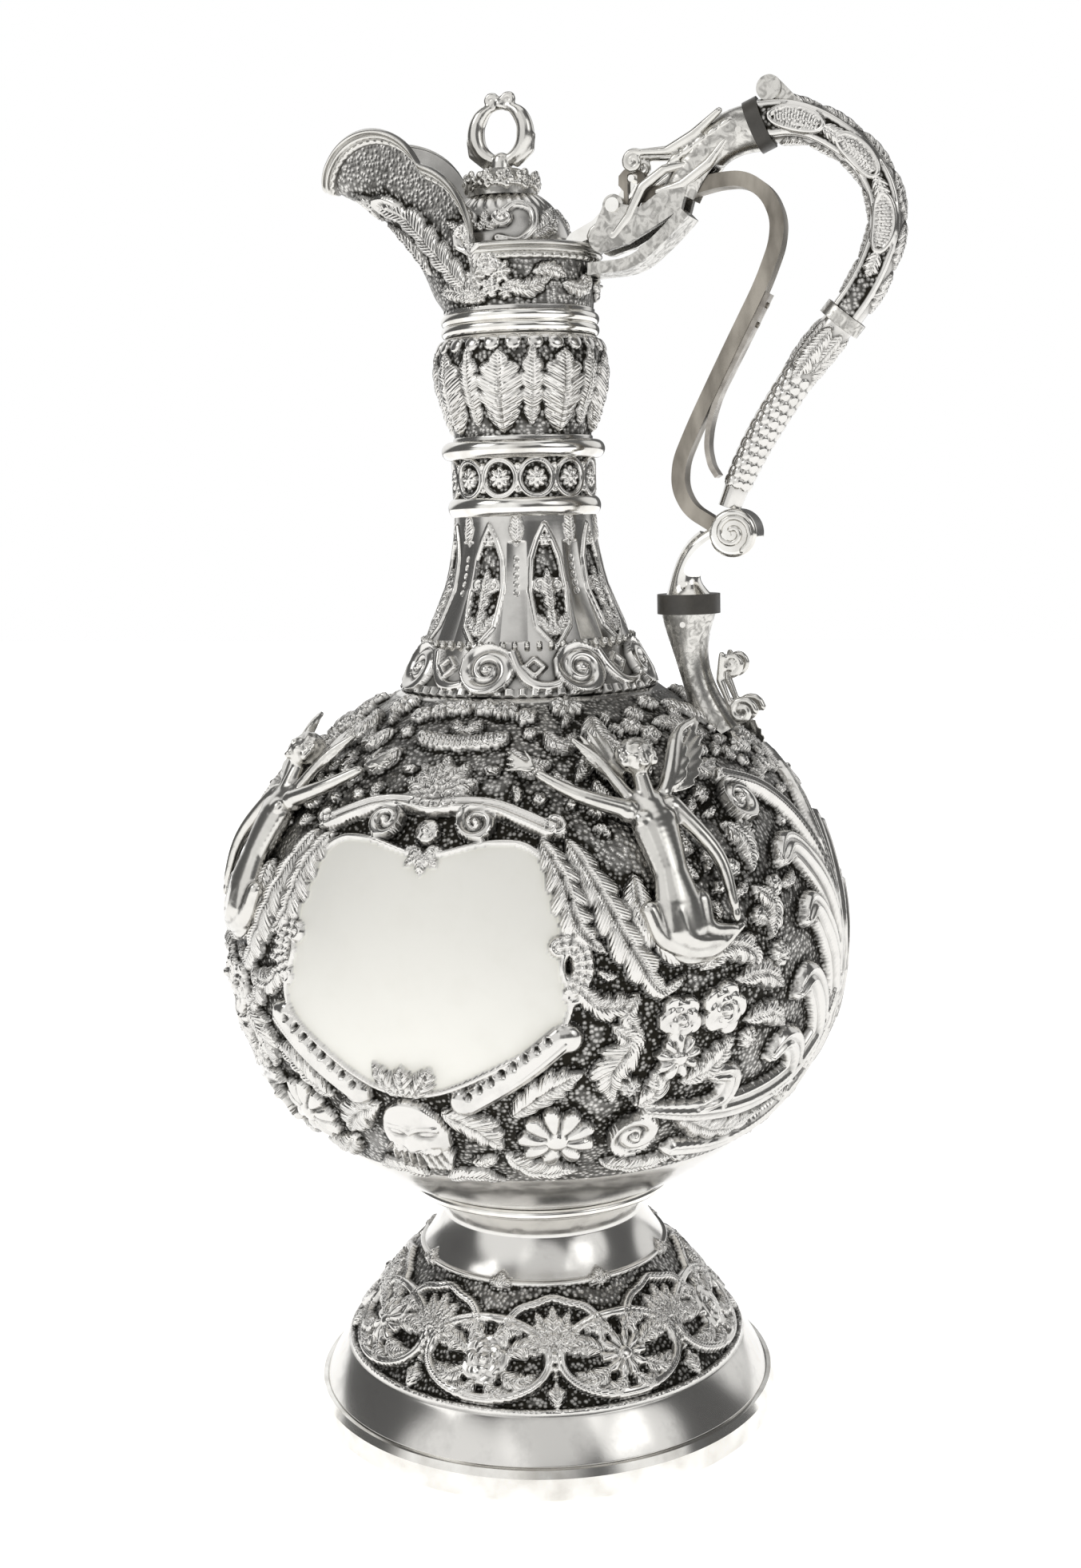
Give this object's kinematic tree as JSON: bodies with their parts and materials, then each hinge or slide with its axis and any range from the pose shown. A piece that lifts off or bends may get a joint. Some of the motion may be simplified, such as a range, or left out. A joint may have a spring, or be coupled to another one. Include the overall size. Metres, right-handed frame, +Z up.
{
  "type": "claret jug",
  "caption": "Tall embossed silver claret jug with a drawn-out spout, a domed hinged lid, an insulated handle and a squeeze lever that lifts the lid.",
  "frame": {"origin": "on the table under the jug's axis, at the foot's lower face", "axes": "+Z up along the jug's axis, +X towards the handle, -X towards the spout, -Y towards the blank shield"},
  "size_m": [0.1948, 0.174, 0.3713],
  "materials": {
    "embossed_silver": "chased, oxidised in the recesses",
    "cast_silver": "cast and chased, oxidised in the recesses",
    "polished_silver": "polished",
    "horn": "polished dark horn",
    "lever_metal": "worn, tarnished",
    "spring_metal": "worn, tarnished"
  },
  "bodies": {
    "jug": {"body": "embossed_silver", "body_flowers": "embossed_silver", "body_leaves": "embossed_silver", "bracket_strut": "cast_silver", "collar_ring": "polished_silver", "flower_baskets": "embossed_silver", "foot": "embossed_silver", "foot_arches": "embossed_silver", "foot_lobes": "embossed_silver", "foot_rim": "polished_silver", "handle_bow": "cast_silver", "handle_cuff": "cast_silver", "handle_knob": "cast_silver", "handle_shank": "cast_silver", "hinge_bracket": "cast_silver", "hinge_pin": "polished_silver", "lever_pivot_pin": "polished_silver", "lid_seat": "polished_silver", "lower_insulator": "horn", "lower_insulator_pins": "polished_silver", "lower_neck": "embossed_silver", "lower_socket": "cast_silver", "masks": "embossed_silver", "mouth": "embossed_silver", "mouth_rim": "polished_silver", "neck_band": "embossed_silver", "neck_bulb": "embossed_silver", "neck_ring_lower": "polished_silver", "neck_ring_upper": "polished_silver", "plumes": "embossed_silver", "seam_ring": "polished_silver", "shield_acanthus": "embossed_silver", "shield_crests": "embossed_silver", "shield_straps": "embossed_silver", "thumb_scroll": "cast_silver", "upper_insulator": "horn", "upper_insulator_pins": "polished_silver", "winged_figure_1": "cast_silver", "winged_figure_2": "cast_silver", "winged_figure_3": "cast_silver", "winged_figure_4": "cast_silver"},
    "lid": {"lid_plate": "embossed_silver", "lid_bezel": "polished_silver", "lid_dome": "embossed_silver", "finial_collar": "cast_silver", "finial_nut": "polished_silver", "finial_ring": "cast_silver", "lid_hinge_arm": "polished_silver", "crank_pin": "polished_silver"},
    "lever": {"squeeze_lever": "lever_metal", "leaf_spring": "spring_metal", "spring_rivets": "lever_metal"}
  },
  "joints": [
    {"name": "lid_hinge", "type": "hinge", "parent": "jug", "child": "lid", "pos_m": [0.029, 0, 0.3395], "axis": [0, 1, 0], "range_deg": [0, 50]},
    {"name": "lever_squeeze", "type": "hinge", "parent": "jug", "child": "lever", "pos_m": [0.05902, 0, 0.252], "axis": [0, 1, 0], "range_deg": [0, 2.4], "stiffness_Nm_per_rad": 4, "springref_deg": -1.15, "deforming": ["leaf_spring"]}
  ],
  "couplings": [
    {"joint": "lever_squeeze", "follows": "lid_hinge", "ratio": 0.0457}
  ]
}
